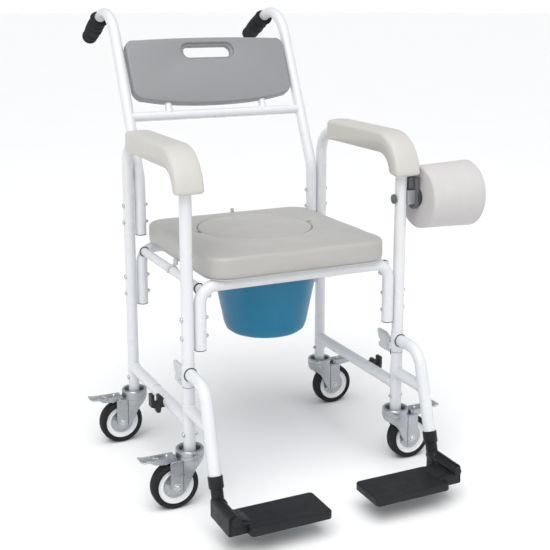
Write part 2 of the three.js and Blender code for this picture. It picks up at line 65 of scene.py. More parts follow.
LEAN = math.radians(16.75)
DOWN_HANGER = Vector((0, -math.sin(LEAN), -math.cos(LEAN)))
HINGE_Z = 72


def at(x, y, z):
    return MIDDLE + Vector((x, y, z)) / 1000


def reclined(x, s, out=0.0):
    return Vector((x, LEG_Y, POST_BEND)) + s * UP_BACK + out * OUT_BACK


def on_hanger(x, z):
    return Vector((x, -269.4 - (285 - z) * math.tan(LEAN), z))


# ------------------------------------------------------------------ materials
def put(name, data):
    """Places new data in the scene as an object."""
    made = bpy.data.objects.new(name, data)
    bpy.context.scene.collection.objects.link(made)
    return made


class Nodes:
    """A Principled material and short ways to add procedural detail to it."""

    def __init__(self, name, color, roughness, metallic=0.0, **sockets):
        self.mat = bpy.data.materials.new(name)
        self.mat.use_nodes = True
        self.tree = self.mat.node_tree
        self.shader = self.tree.nodes["Principled BSDF"]
        self.color = (*color, 1)
        self.set("Base Color", self.color)
        self.set("Roughness", roughness)
        self.set("Metallic", metallic)
        for key, value in sockets.items():
            self.set(key.replace("_", " "), value)
        self.coord = self.tree.nodes.new("ShaderNodeTexCoord").outputs["Object"]
        self.height = None

    def set(self, socket, value):
        self.shader.inputs[socket].default_value = value

    def node(self, kind, **values):
        made = self.tree.nodes.new(kind)
        for key, value in values.items():
            made.inputs[key].default_value = value
        return made

    def link(self, out, into):
        self.tree.links.new(out, into)

    def stretched(self, scale):
        mapping = self.node("ShaderNodeMapping", Scale=scale)
        self.link(self.coord, mapping.inputs["Vector"])
        return mapping.outputs["Vector"]

    def noise(self, scale, detail=4.0, stretch=None, distortion=0.0):
        made = self.node("ShaderNodeTexNoise", Scale=scale, Detail=detail, Distortion=distortion)
        self.link(self.stretched(stretch) if stretch else self.coord, made.inputs["Vector"])
        return made.outputs["Fac"]

    def cells(self, scale):
        made = self.node("ShaderNodeTexVoronoi", Scale=scale)
        self.link(self.coord, made.inputs["Vector"])
        return made.outputs["Distance"]

    def span(self, fac, low, high, start=0.3, stop=0.7):
        made = self.node("ShaderNodeMapRange")
        for key, value in zip(("From Min", "From Max", "To Min", "To Max"), (start, stop, low, high)):
            made.inputs[key].default_value = value
        self.link(fac, made.inputs["Value"])
        return made.outputs["Result"]

    def tint(self, fac, other, low=0.0, high=1.0, start=0.35, stop=0.65):
        """Runs the colour towards another where fac is high."""
        mix = self.node("ShaderNodeMix")
        mix.data_type = "RGBA"
        into = [s for s in mix.inputs if s.type == "RGBA"]
        source = self.shader.inputs["Base Color"].links
        if source:
            self.link(source[0].from_socket, into[0])
        else:
            into[0].default_value = self.color
        into[1].default_value = (*other, 1)
        self.link(self.span(fac, low, high, start, stop), mix.inputs["Factor"])
        self.link([s for s in mix.outputs if s.type == "RGBA"][0], self.shader.inputs["Base Color"])
        return self

    def rough(self, fac, low, high):
        self.link(self.span(fac, low, high), self.shader.inputs["Roughness"])
        return self

    def bump(self, fac, strength, distance):
        made = self.node("ShaderNodeBump", Strength=strength, Distance=distance)
        self.link(fac, made.inputs["Height"])
        if self.height:
            self.link(self.height, made.inputs["Normal"])
        self.height = made.outputs["Normal"]
        self.link(self.height, self.shader.inputs["Normal"])
        return self


def coated_steel():
    m = Nodes("white_powder_coat", (0.70, 0.71, 0.73), 0.34, Coat_Weight=0.25, Coat_Roughness=0.14)
    m.tint(m.noise(3.5, 3), (0.67, 0.682, 0.704), high=0.6)
    m.tint(m.noise(190, 2), (0.60, 0.61, 0.63), high=0.12, start=0.62, stop=0.8)
    m.rough(m.noise(26, 4), 0.24, 0.4)
    return m.bump(m.noise(420, 3), 0.25, 0.00035).bump(m.noise(1500, 2), 0.1, 0.0001).mat


def vinyl():
    gloss = {"Sheen_Weight": 0.05, "Coat_Weight": 0.2, "Coat_Roughness": 0.25}
    m = Nodes("seat_vinyl", (0.405, 0.398, 0.382), 0.38, **gloss)
    m.tint(m.noise(5, 4), (0.385, 0.378, 0.363), high=0.6)
    m.tint(m.noise(60, 3), (0.43, 0.422, 0.405), high=0.25)
    m.rough(m.noise(14, 5), 0.34, 0.46)
    m.bump(m.cells(620), 0.22, 0.0004).bump(m.noise(170, 5, distortion=0.6), 0.1, 0.0004)
    return m.bump(m.noise(7, 2), 0.05, 0.0012).mat


def plastic(name, color, rough=0.45, grain=900, depth=0.00012, shade=0.88, mottled=0.5, **sockets):
    m = Nodes(name, color, rough, **sockets)
    m.tint(m.noise(7, 4), tuple(c * shade for c in color), high=mottled)
    m.rough(m.noise(38, 5), rough - 0.07, rough + 0.09)
    return m.bump(m.cells(grain), 0.35, depth).bump(m.noise(16, 2), 0.12, 0.0006).mat


def armrest_foam():
    m = Nodes("armrest_foam", (0.545, 0.535, 0.50), 0.5, Subsurface_Weight=0.05, Sheen_Weight=0.12)
    m.tint(m.noise(6, 3), (0.525, 0.515, 0.48), high=0.5)
    m.tint(m.noise(240, 2), (0.575, 0.565, 0.53), high=0.15)
    m.rough(m.noise(30, 4), 0.44, 0.58)
    return m.bump(m.cells(1300), 0.25, 0.00018).bump(m.noise(12, 2), 0.1, 0.0008).mat


def zinc(name="caster_zinc", color=(0.43, 0.448, 0.472), rough=0.3):
    m = Nodes(name, color, rough, 0.85)
    m.tint(m.cells(160), tuple(c * 1.06 for c in color), high=0.35, start=0.1, stop=0.6)
    m.tint(m.noise(14, 3), tuple(c * 0.9 for c in color), high=0.4)
    m.rough(m.noise(60, 4), rough - 0.07, rough + 0.1)
    return m.bump(m.noise(900, 2, (1, 1, 6)), 0.1, 0.00006).mat


def rubber(name, color, grain=700):
    m = Nodes(name, color, 0.66, Specular_IOR_Level=0.3)
    m.tint(m.noise(18, 5), tuple(c * 1.5 for c in color), high=0.45)
    m.rough(m.noise(50, 5), 0.6, 0.84)
    return m.bump(m.noise(grain, 4), 0.35, 0.0003).mat


def tissue():
    m = Nodes("paper", (0.55, 0.535, 0.53), 0.95, Sheen_Weight=0.2)
    m.tint(m.noise(45, 5), (0.52, 0.506, 0.50), high=0.5)
    return m.bump(m.noise(260, 5), 0.45, 0.0006).bump(m.cells(330), 0.3, 0.0005).mat


def cardboard():
    m = Nodes("core_card", (0.36, 0.25, 0.155), 0.9)
    m.tint(m.noise(120, 5, (1, 6, 6)), (0.27, 0.185, 0.115))
    return m.bump(m.noise(300, 4), 0.3, 0.0003).mat


LOOKS = {
    "frame_paint": coated_steel(),
    "seat_vinyl": vinyl(),
    "backrest_plastic": plastic("backrest_plastic", (0.252, 0.259, 0.267), 0.46, 520, 0.0002, 0.93),
    "armrest_foam": armrest_foam(),
    "bucket_blue": plastic("bucket_blue", (0.008, 0.165, 0.30), 0.36, 1400, 0.00003, 0.93, 0.4,
                           Specular_IOR_Level=0.4),
    "caster_zinc": zinc(),
    "rim_white": plastic("rim_white", (0.78, 0.785, 0.79), 0.38, 1200, 0.00006, 0.93),
    "tyre_black": rubber("tyre_black", (0.009, 0.0095, 0.0105)),
    "footrest_black": plastic("footrest_black", (0.0085, 0.009, 0.0105), 0.5, 650, 0.0002, 1.3,
                              Specular_IOR_Level=0.32),
    "latch_grey": plastic("latch_grey", (0.60, 0.61, 0.62), 0.42, 1100, 0.0001),
    "grip_rubber": rubber("grip_rubber", (0.008, 0.0084, 0.0095), 1000),
    "clip_black": plastic("clip_black", (0.010, 0.011, 0.012), 0.5, 900, 0.0001, 1.4),
    "clamp_steel": zinc("clamp_steel", (0.36, 0.37, 0.385), 0.4),
    "holder_grey": plastic("holder_grey", (0.105, 0.11, 0.118), 0.42, 1000, 0.0001, 1.2),
    "paper": tissue(),
}
CARD = cardboard()
BRIGHT = zinc("bright_zinc", (0.58, 0.60, 0.62), 0.24)
# Dark plastic for the tube plugs, seals and roll cap; it also paints the shade in the caster cups' recesses.
DARK_AND_SHADE = plastic("dark_plug_and_shade", (0.03, 0.032, 0.035), 0.55, 900, 0.0001, 1.4)


# ------------------------------------------------------------------ mesh building
def finish(name, bm, body, slot, node=None, look=None, sharp=35, where=None):
    """Turns a bmesh in chair millimetres into a piece that rides on a body; where moves it first."""
    if where:
        bm.transform(where)
    bmesh.ops.recalc_face_normals(bm, faces=bm.faces)
    mesh = bpy.data.meshes.new(name)
    bm.to_mesh(mesh)
    bm.free()
    mesh.transform(Matrix.Translation(MIDDLE) @ Matrix.Scale(0.001, 4))
    mesh.shade_smooth()
    mesh.set_sharp_from_angle(angle=math.radians(sharp))
    mesh.materials.append(look or LOOKS[slot])
    piece = put(name, mesh)
    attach(piece, body)
    if node:
        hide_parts(node)
    return piece


def bent(corners, bends, steps):
    """Centre points and headings of straight runs with rounded corners."""
    corners = [Vector(c) for c in corners]
    heads = [(b - a).normalized() for a, b in zip(corners, corners[1:])]
    path = [(corners[0], heads[0])]
    for i, corner in enumerate(corners[1:-1]):
        into, out = heads[i], heads[i + 1]
        turn = into.angle(out)
        bend = bends[i] if isinstance(bends, (list, tuple)) else bends
        inward = (out - into * into.dot(out)).normalized()
        centre = corner - into * bend * math.tan(turn / 2) + inward * bend
        count = max(3, round(steps * turn / (math.pi / 2)))
        for k in range(count + 1):
            a = turn * k / count
            point = centre - inward * bend * math.cos(a) + into * bend * math.sin(a)
            path.append((point, into * math.cos(a) + inward * math.sin(a)))
    return path + [(corners[-1], heads[-1])]


def add_loft(bm, rings, close=False):
    """Skins equal rings of points, each closed round; caps the two ends or joins them."""
    made = [[bm.verts.new(p) for p in ring] for ring in rings]
    for one, two in zip(made, made[1:] + made[:1] if close else made[1:]):
        for i in range(len(one)):
            j = (i + 1) % len(one)
            bm.faces.new((one[i], one[j], two[j], two[i]))
    if not close:
        bm.faces.new(made[0])
        bm.faces.new(list(reversed(made[-1])))


def add_sweep(bm, path, section, side):
    """Sweeps a section [(a, b)] along a path, a along side and b across it."""
    rings = []
    for point, heading in path:
        u = (side - heading * side.dot(heading)).normalized()
        v = heading.cross(u)
        rings.append([point + (u * a + v * b) for a, b in section])
    add_loft(bm, rings)


def circle(radius, sides=32):
    return [(radius * math.cos(2 * math.pi * i / sides), radius * math.sin(2 * math.pi * i / sides))
            for i in range(sides)]


def add_tube(bm, corners, radius, bends=0.0, steps=12, sides=32):
    path = bent(corners, bends, steps)
    spread = [max(c[k] for c in corners) - min(c[k] for c in corners) for k in range(3)]
    side = Vector([1 if k == spread.index(min(spread)) else 0 for k in range(3)])
    add_sweep(bm, path, circle(radius, sides), side)


def add_turned(bm, profile, origin, axis, segments=40):
    """Turns [(radius, height)] about an axis; a radius of 0 closes on the axis."""
    axis = Vector(axis).normalized()
    u = axis.orthogonal().normalized()
    v = axis.cross(u)
    origin = Vector(origin)
    closed = profile[0][0] > 0 and profile[-1][0] > 0
    rings = []
    for r, h in profile:
        r = max(r, 0.02)
        rings.append([origin + axis * h + (u * c + v * s) * r for c, s in circle(1, segments)])
    add_loft(bm, rings, closed)


def add_slab(bm, loops, thickness, edge, matrix, steps=3):
    """A flat shape, with holes, given thickness and rounded edges, placed by a matrix."""
    curve = bpy.data.curves.new("slab", "CURVE")
    curve.dimensions = "2D"
    curve.fill_mode = "BOTH"
    curve.extrude = thickness / 2 - edge
    curve.bevel_depth = edge
    curve.bevel_resolution = steps
    curve.offset = -edge
    for loop in loops:
        spline = curve.splines.new("POLY")
        spline.points.add(len(loop) - 1)
        for p, (a, b) in zip(spline.points, loop):
            p.co = (a, b, 0, 1)
        spline.use_cyclic_u = True
    holder = put("slab", curve)
    mesh = bpy.data.meshes.new_from_object(holder.evaluated_get(bpy.context.evaluated_depsgraph_get()))
    mesh.transform(matrix)
    bm.from_mesh(mesh)
    bmesh.ops.remove_doubles(bm, verts=bm.verts, dist=0.002)
    bpy.data.objects.remove(holder)
    bpy.data.curves.remove(curve)
    bpy.data.meshes.remove(mesh)


def basis(x, y, z, origin):
    rows = [[x[i], y[i], z[i], origin[i]] for i in range(3)]
    return Matrix(rows + [[0, 0, 0, 1]])


X, Y, Z = Vector((1, 0, 0)), Vector((0, 1, 0)), Vector((0, 0, 1))


def add_plate_xz(bm, loops, y, thickness, edge=0.8):
    add_slab(bm, loops, thickness, edge, basis(X, Z, -Y, Vector((0, y, 0))))


def add_plate_yz(bm, loops, x, thickness, edge=0.8):
    add_slab(bm, loops, thickness, edge, basis(Y, Z, X, Vector((x, 0, 0))))


def add_plate_xy(bm, loops, z, thickness, edge=0.8):
    add_slab(bm, loops, thickness, edge, basis(X, Y, Z, Vector((0, 0, z))))


def add_block(bm, low, high, edge=1.0, steps=3):
    """A box with its edges rounded."""
    made = bmesh.ops.create_cube(bm, size=1)
    size = [h - l for l, h in zip(low, high)]
    centre = [(l + h) / 2 for l, h in zip(low, high)]
    for v in made["verts"]:
        v.co = Vector([c + s * k for c, s, k in zip(centre, size, v.co)])
    corners = set(made["verts"])
    edges = [e for e in bm.edges if e.verts[0] in corners]
    bmesh.ops.bevel(bm, geom=edges, offset=edge, segments=steps, profile=0.5, affect="EDGES")


def rounded(x0, x1, y0, y1, radius, steps=8):
    """Outline of a rounded rectangle."""
    loop = []
    corners = ((x1, y1, 0), (x0, y1, 1), (x0, y0, 2), (x1, y0, 3))
    for x, y, quarter in corners:
        cx = x - radius if x == x1 else x + radius
        cy = y - radius if y == y1 else y + radius
        for k in range(steps + 1):
            a = (quarter + k / steps) * math.pi / 2
            loop.append((cx + radius * math.cos(a), cy + radius * math.sin(a)))
    return loop


def smooth_loop(points, radius=3.0, steps=4):
    """A polygon with every corner eased by a short curve."""
    loop = []
    count = len(points)
    for i, p in enumerate(points):
        p = Vector(p)
        before, after = Vector(points[i - 1]), Vector(points[(i + 1) % count])
        cut = min(radius, (p - before).length * 0.45, (after - p).length * 0.45)
        a = p + (before - p).normalized() * cut
        b = p + (after - p).normalized() * cut
        for k in range(steps + 1):
            t = k / steps
            q = a * (1 - t) ** 2 + p * 2 * t * (1 - t) + b * t * t
            loop.append((q.x, q.y))
    return loop


# ------------------------------------------------------------------ small fittings
def add_bolt_head(bm, origin, axis, radius=4.6):
    """A domed head on a washer."""
    profile = [(0, -1.5), (radius * 1.35, -1.5), (radius * 1.35, 0.8), (radius, 1.0), (radius, 2.0),
               (radius * 0.86, 3.1), (radius * 0.5, 3.9), (0, 4.1)]
    add_turned(bm, profile, origin, axis, 20)


def add_nut(bm, origin, axis, radius=4.8):
    """A hexagon nut with the screw's end standing out of it."""
    add_turned(bm, [(0, -1.5), (radius, -1.5), (radius, 3.0), (radius * 0.8, 3.8), (0, 3.8)], origin, axis, 6)
    add_turned(bm, [(0, 0), (2.6, 0), (2.6, 5.2), (2.0, 5.9), (0, 5.9)], origin, axis, 16)


def add_weld(bm, centre, axis, radius, bead=1.3, segments=48):
    """A ripple of weld round a joint."""
    axis = Vector(axis).normalized()
    u = axis.orthogonal().normalized()
    v = axis.cross(u)
    rings = []
    for i in range(segments):
        a = 2 * math.pi * i / segments
        out = u * math.cos(a) + v * math.sin(a)
        size = bead * (1 + 0.07 * math.sin(16 * a))
        rings.append([Vector(centre) + out * (radius + size * c) + axis * size * s for c, s in circle(1, 8)])
    add_loft(bm, rings, close=True)


# ------------------------------------------------------------------ steel frame
for name, side in SIDES:
    x = side * LEG_X
    bm = bmesh.new()
    corners = [(x, LEG_Y, LEG_FOOT), (x, LEG_Y, ARM_Z), (x, -LEG_Y, ARM_Z), (x, -LEG_Y, LEG_FOOT)]
    add_tube(bm, corners, TUBE, 60)
    finish("side_tube_" + name, bm, "frame", "frame_paint", "side_frame_" + name)

    bm = bmesh.new()
    add_tube(bm, [(x, 4 - LEG_Y, RAIL_Z), (x, LEG_Y - 4, RAIL_Z)], TUBE)
    for end in (-1, 1):
        add_weld(bm, (x, end * (LEG_Y - TUBE - 0.6), RAIL_Z), Y, TUBE - 0.2)
    finish("side_rail_tube_" + name, bm, "frame", "frame_paint", "side_rail_" + name)

    bm = bmesh.new()
    add_tube(bm, [(side * 217, 6 - LEG_Y, 455.5), (side * 217, LEG_Y - 6, 455.5)], 9.5)
    finish("seat_side_tube_" + name, bm, "frame", "frame_paint", "seat_tube_" + name)

    bm = bmesh.new()
    for end in (-1, 1):
        profile = [(9.3, -1.6), (11.6, -1.6), (11.9, 0), (11.6, 1.6), (9.3, 1.6)]
        add_turned(bm, profile, (side * 216.6, end * (LEG_Y - 11.2), 455.0), Y, 32)
    finish("seat_tube_collars_" + name, bm, "frame", "clip_black")

    bm = bmesh.new()
    add_block(bm, (side * 129 - 5, 6 - LEG_Y, 458.3), (side * 129 + 5, LEG_Y - 6, 468), 1.2)
    finish("bucket_runner_" + name, bm, "frame", "frame_paint", "bucket_rail_" + name)

    corner = reclined(side * INNER_X, HANDLE_UP)
    bm = bmesh.new()
    x = side * INNER_X
    post = [(x, LEG_Y, POST_FOOT), (x, LEG_Y, POST_BEND), corner, corner + HANDLE * 196]
    add_tube(bm, post, TUBE, [80, 90], 14)
    finish("back_tube_" + name, bm, "frame", "frame_paint", "back_post_" + name)

for name, end in ENDS:
    y = end * LEG_Y
    bm = bmesh.new()
    hoop = [(-INNER_X, y, HOOP_FOOT), (-INNER_X, y, HOOP_Z), (INNER_X, y, HOOP_Z), (INNER_X, y, HOOP_FOOT)]
    add_tube(bm, hoop, TUBE, 35)
    finish("seat_hoop_" + name, bm, "frame", "frame_paint", "seat_frame_" + name)

# Plastic plugs in the open tube ends.
bm = bmesh.new()
plug = [(0, -1.4), (10.5, -1.4), (12.2, -0.9), (12.9, 0.2), (12.9, 1.0), (12.0, 1.3), (0, 1.3)]
for side in (-1, 1):
    for end in (-1, 1):
        add_turned(bm, plug, (side * INNER_X, end * LEG_Y, HOOP_FOOT), Z)
    add_turned(bm, plug, (side * INNER_X, LEG_Y, POST_FOOT), Z)
finish("tube_plugs", bm, "frame", "clip_black", look=DARK_AND_SHADE)

# Bolts that pin the inner tubes into the legs, with their nuts on the inside.
bm = bmesh.new()
for side in (-1, 1):
    out = X * side
    for end in (-1, 1):
        heights = [397.2, 358.5] + ([564.0, 524.8] if end > 0 else [])
        for z in heights:
            add_bolt_head(bm, (side * (LEG_X + TUBE - 0.6), end * LEG_Y, z), out)
            add_nut(bm, (side * (INNER_X - TUBE + 0.6), end * LEG_Y, z), -out)
        add_bolt_head(bm, (side * (LEG_X + TUBE - 0.6), end * LEG_Y, LEG_BOLT_Z), out)
        add_nut(bm, (side * (LEG_X - TUBE + 0.6), end * LEG_Y, LEG_BOLT_Z), -out)
        inward = Vector((-side, 0, -1)).normalized()
        add_nut(bm, Vector((side * 209.8, end * LEG_Y, 451.2)) + inward * (TUBE - 0.5), inward)
finish("frame_bolts", bm, "frame", "clamp_steel", look=BRIGHT)

bm = bmesh.new()
add_tube(bm, [reclined(4 - INNER_X, CROSS_UP), reclined(INNER_X - 4, CROSS_UP)], 11)
for side in (-1, 1):
    add_weld(bm, reclined(side * (INNER_X - TUBE + 1.2), CROSS_UP), X, 10.6)
    x = side * 120.5
    add_tube(bm, [reclined(x, CROSS_UP), reclined(x, 206)], 8.6)
    flare = [(0, 6), (10.5, 6), (10.2, 10.2), (9.2, 12), (8.6, 14), (0, 14)]
    add_turned(bm, flare, reclined(x, CROSS_UP), UP_BACK, 32)
finish("back_cross_tube", bm, "frame", "frame_paint", "back_crossbar")

# ------------------------------------------------------------------ backrest
def ease(t):
    t = min(1, max(0, t))
    return t * t * (3 - 2 * t)


def arc(cx, cy, r, start, stop, steps=8):
    return [(cx + r * math.cos(math.radians(start + (stop - start) * k / steps)),
             cy + r * math.sin(math.radians(start + (stop - start) * k / steps))) for k in range(steps + 1)]


def backrest_outline():
    bottom = [(x, 171 + 15 * (abs(x) / 178) ** 2.3) for x in range(-150, 151, 15)]
    top = [(x, 337.5 - 4.5 * (x / 185) ** 2) for x in range(170, -171, -20)]
    right = arc(173, 214, 29, -62, 0, 7) + arc(183.5, 314, 20, 0, 76, 7)
    left = [(-x, s) for x, s in reversed(right)]
    return bottom + right + top + left


def hand_slot(half, radius, steps=12):
    return arc(half, SLOT_UP, radius, -90, 90, steps) + arc(-half, SLOT_UP, radius, 90, 270, steps)


back_plane = basis(X, UP_BACK, OUT_BACK, reclined(0, 0))
bm = bmesh.new()
add_slab(bm, [backrest_outline(), hand_slot(48, 20)], 26, 4.2, back_plane, 5)
add_slab(bm, [hand_slot(48, 22), hand_slot(46.5, 14.5, 10)], 15, 2.4, back_plane, 4)
finish("backrest_panel", bm, "frame", "backrest_plastic", "backrest_pad", sharp=50)

# ------------------------------------------------------------------ push grips
for name, side in SIDES:
    start = reclined(side * INNER_X, HANDLE_UP) + HANDLE * 92.2
    profile = [(12.8, -0.4), (21.5, 0), (23.2, 1.6), (23.2, 4.0), (21.5, 5.6), (17.4, 7.4)]
    for k in range(8):
        h = 12 + k * 11
        full = 17.2 + 3.1 * math.sin(math.pi * min(1, (k + 0.9) / 8.2)) ** 0.7
        profile += [(full - 0.9, h), (full, h + 2), (full + 0.2, h + 4.6), (full, h + 7.2),
                    (full - 0.9, h + 9.4)]
    profile += [(17.4, 101.4), (18.6, 103.5), (19.1, 107), (18.2, 111.6), (15.2, 115), (9.6, 116.4),
                (0, 116.6)]
    bm = bmesh.new()
    add_turned(bm, [(0, 1)] + profile, start, HANDLE, 44)
    above = HANDLE.cross(X).normalized()
    above = above if above.z > 0 else -above
    for v in bm.verts:
        h, up = (v.co - start).dot(HANDLE), (v.co - start).dot(above)
        if up > 0:
            v.co -= above * up * 0.26 * ease((14 - h) / 6)
        elif 8 < h < 104:
            v.co += above * up * 0.075 * (1 - math.cos((h - 12) * math.tau / 29)) * ease(-up / 12)
    finish("grip_" + name, bm, "frame", "grip_rubber", "push_grip_" + name)

# ------------------------------------------------------------------ armrest pads
PAD_FOOT, PAD_HALF, PAD_CROWN = 16.5, 30.5, 33.5


def armrest_section(corner):
    """Section round the tube: a runs across the pad, b from its underside (-) to its crown (+)."""
    foot, width, crown = PAD_FOOT, PAD_HALF, PAD_CROWN
    loop = [(-17, -foot), (-8, -foot), (8, -foot), (17, -foot), (20.5, 0.8 - foot), (width - 1.6, corner - 3)]
    loop += [(width - 0.3, corner), (width, corner + 3)]
    for cx, r, start, stop in ((width - 9, 9, 0, 84), (9 - width, 9, 96, 180)):
        loop += arc(cx, crown - 10.6, r, start, stop, 6)
        if stop == 84:
            loop += [(11, crown - 0.7), (0, crown), (-11, crown - 0.7)]
    return loop + [(-width, corner + 3), (0.3 - width, corner), (1.6 - width, corner - 3),
                   (-20.5, 0.8 - foot)]


def add_armrest(bm, x):
    """Sweeps the section along arm and bend, its inner corners cut back more and more."""
    path = bent([(x, 102, ARM_Z), (x, -LEG_Y, ARM_Z), (x, -LEG_Y, 655)], 60, 16)
    ends = (0, 0.5, 1.5, 3, 5, 7)
    points = [(path[0][0] + path[0][1] * d, path[0][1]) for d in ends]
    for (p, h), (q, k) in zip(path, path[1:]):
        count = max(1, round((q - p).length / 7))
        points += [(p.lerp(q, i / count), h.lerp(k, i / count).normalized()) for i in range(1, count + 1)]
    start, stop = path[0], path[-1]
    inner = [(p, h) for p, h in points[len(ends):-1]
             if (p - start[0]).length > 8 and (p - stop[0]).length > 9]
    points = points[:len(ends)] + inner + [(stop[0] - stop[1] * d, stop[1]) for d in reversed(ends)]
    runs = [0]
    for (p, h), (q, k) in zip(points, points[1:]):
        runs.append(runs[-1] + (q - p).length)
    rings = []
    for (centre, heading), run in zip(points, runs):
        away = min(1, min(run, runs[-1] - run) / 7)
        pinch = 1 - 0.2 * (1 - math.sqrt(1 - (1 - away) ** 2))
        corner = -11 + 25 * ease(run / runs[-1])
        out = heading.cross(X)
        rings.append([centre + X * a * pinch + out * (b * pinch) for a, b in armrest_section(corner)])
    add_loft(bm, rings)


for name, side in SIDES:
    bm = bmesh.new()
    add_armrest(bm, side * LEG_X)
    pad = finish("armrest_" + name, bm, "frame", "armrest_foam", "armrest_pad_" + name, sharp=60)

# ------------------------------------------------------------------ seat, lid and bucket
SEAT_X, SEAT_FRONT, SEAT_REAR, SEAT_CORNER = 208, -216, 206, 53
SEAT_LOW, SEAT_TOP, SHOULDER = 477.2, 522.5, 10
LID_Y, LID_R, LID_LOW = 35, 129.2, 507


def lid_angles():
    """Headings round the lid's middle, closer together where the finger notches are."""
    found = [2 * math.pi * k / 144 for k in range(144)]
    close = [k * 0.35 for k in range(-14, 15)]
    for middle in (0, 180):
        found = [a for a in found if abs((math.degrees(a) - middle + 180) % 360 - 180) > 5.0]
        found += [math.radians(middle + c) % (2 * math.pi) for c in close]
    return sorted(found)


HEADINGS = lid_angles()


def outline_reach(angle, inset):
    """Distance from the lid's middle to the seat's rounded outline, drawn in by inset."""
    c, s = math.cos(angle), math.sin(angle)
    r = SEAT_CORNER - inset
    x0, y0, y1 = SEAT_X - inset, SEAT_FRONT + inset, SEAT_REAR - inset
    t = min(x0 / max(abs(c), 1e-9), abs((y1 if s > 0 else y0) - LID_Y) / max(abs(s), 1e-9))
    x, y = abs(c) * t, LID_Y + s * t
    cx, cy = x0 - r, (y1 - r if s > 0 else y0 + r)
    if x > cx and (y - cy) * s > 0:
        dx, dy = -cx, LID_Y - cy
        b = abs(c) * dx + s * dy
        t = -b + math.sqrt(b * b - (dx * dx + dy * dy - r * r))
    return t


def round_reach(angle, radius, centre_y=LID_Y, notch=0.0):
    """The same for a circle, which may have a finger notch at each side."""
    c, s = math.cos(angle), math.sin(angle)
    dy = LID_Y - centre_y
    t = -s * dy + math.sqrt(radius * radius - dy * dy * c * c)
    across = (LID_R + 1) * abs(s)
    if notch and across < notch:
        t = max(t, (LID_R + 1) * abs(c) + math.sqrt(notch * notch - across * across))
    return t


def seat_ring(reach, z):
    return [Vector((r * math.cos(a), LID_Y + r * math.sin(a), z)) for a, r in
            ((a, reach(a)) for a in HEADINGS)]


def puff(piece, held, pressure, cap, frames=14):
    """Blows a closed skin up a little as cloth, holding some vertices, and keeps the result."""
    mesh = piece.data
    before = [v.co.copy() for v in mesh.vertices]
    group = piece.vertex_groups.new(name="held")
    group.add(held, 1.0, "REPLACE")
    mod = piece.modifiers.new("swell", "CLOTH")
    cloth = mod.settings
    cloth.quality, cloth.mass = 6, 0.4
    cloth.tension_stiffness = cloth.compression_stiffness = 22
    cloth.shear_stiffness, cloth.bending_stiffness = 12, 4
    cloth.use_pressure = True
    cloth.uniform_pressure_force = pressure
    cloth.vertex_group_mass = "held"
    cloth.effector_weights.gravity = 0
    mod.point_cache.frame_start, mod.point_cache.frame_end = 1, frames
    scene = bpy.context.scene
    for f in range(1, frames + 1):
        scene.frame_set(f)
    shaped = piece.evaluated_get(bpy.context.evaluated_depsgraph_get()).data
    after = [v.co.copy() for v in shaped.vertices]
    piece.modifiers.remove(mod)
    piece.vertex_groups.clear()
    scene.frame_set(1)
    longest = max((b - a).length for a, b in zip(before, after))
    for v, a, b in zip(mesh.vertices, before, after):
        v.co = a + (b - a) * min(1, cap / longest)


def seat_mesh():
    """Skin of the seat pad as closed rings, from the aperture up, over the top and back below."""
    rings, held = [], []

    def ring(reach, z, fixed=False):
        held.append(fixed)
        rings.append(seat_ring(reach, z))

    for r, z in ((93.5, SEAT_LOW), (91, 478.2), (90.2, 480.5), (90, 490), (90, 500), (90.6, 504.6),
                 (92.6, 506.3)):
        ring(lambda a, r=r: round_reach(a, r, 4), z, True)
    ring(lambda a: (round_reach(a, 92.6, 4) + round_reach(a, 126.6)) / 2, 506.4, True)
    for r, notch, z in ((126.6, 7.6, 506.5), (129.2, 10.2, 507.4), (129.8, 10.8, 509), (129.9, 10.9, 514),
                        (130.0, 11.0, 518.0), (130.6, 11.6, 520.2), (132.0, 12.9, 521.8),
                        (134.2, 14.8, SEAT_TOP)):
        ring(lambda a, r=r, n=notch: round_reach(a, r, LID_Y, n), z, True)
    for k in range(1, 9):
        t = k / 9
        rim = lambda a: round_reach(a, 134.2, LID_Y, 14.8)
        ring(lambda a, t=t: rim(a) * (1 - t) + outline_reach(a, SHOULDER) * t, SEAT_TOP)
    for k in range(7):
        turn = math.radians(15 * k)
        inset, drop = SHOULDER * (1 - math.sin(turn)), SHOULDER * (1 - math.cos(turn))
        ring(lambda a, i=inset: outline_reach(a, i), SEAT_TOP - drop)
    for z in (503, 497, 491, 485.5):
        ring(lambda a: outline_reach(a, 0), z)
    for inset, z in ((0.8, 481.0), (2.6, 478.6), (5.5, 477.3)):
        ring(lambda a, i=inset: outline_reach(a, i), z, True)
    for k in range(1, 5):
        t = k / 5
        ring(lambda a, t=t: outline_reach(a, 6) * (1 - t) + round_reach(a, 94.5, 4) * t, SEAT_LOW, True)
    return rings, held


rings, fixed = seat_mesh()
bm = bmesh.new()
add_loft(bm, rings, close=True)
seat = finish("seat_cushion", bm, "seat", "seat_vinyl", "seat_pad", sharp=70)
count = len(HEADINGS)
puff(seat, [i * count + k for i, f in enumerate(fixed) if f for k in range(count)], 5.0, 0.0045)
seat.modifiers.new("smooth", "SUBSURF").render_levels = 1

bm = bmesh.new()
add_plate_xy(bm, [rounded(-203, 203, -211, 201, 49, 10), circle(96, 64)], 475.9, 2.4, 0.5)
finish("seat_board", bm, "seat", "seat_vinyl", look=LOOKS["latch_grey"])

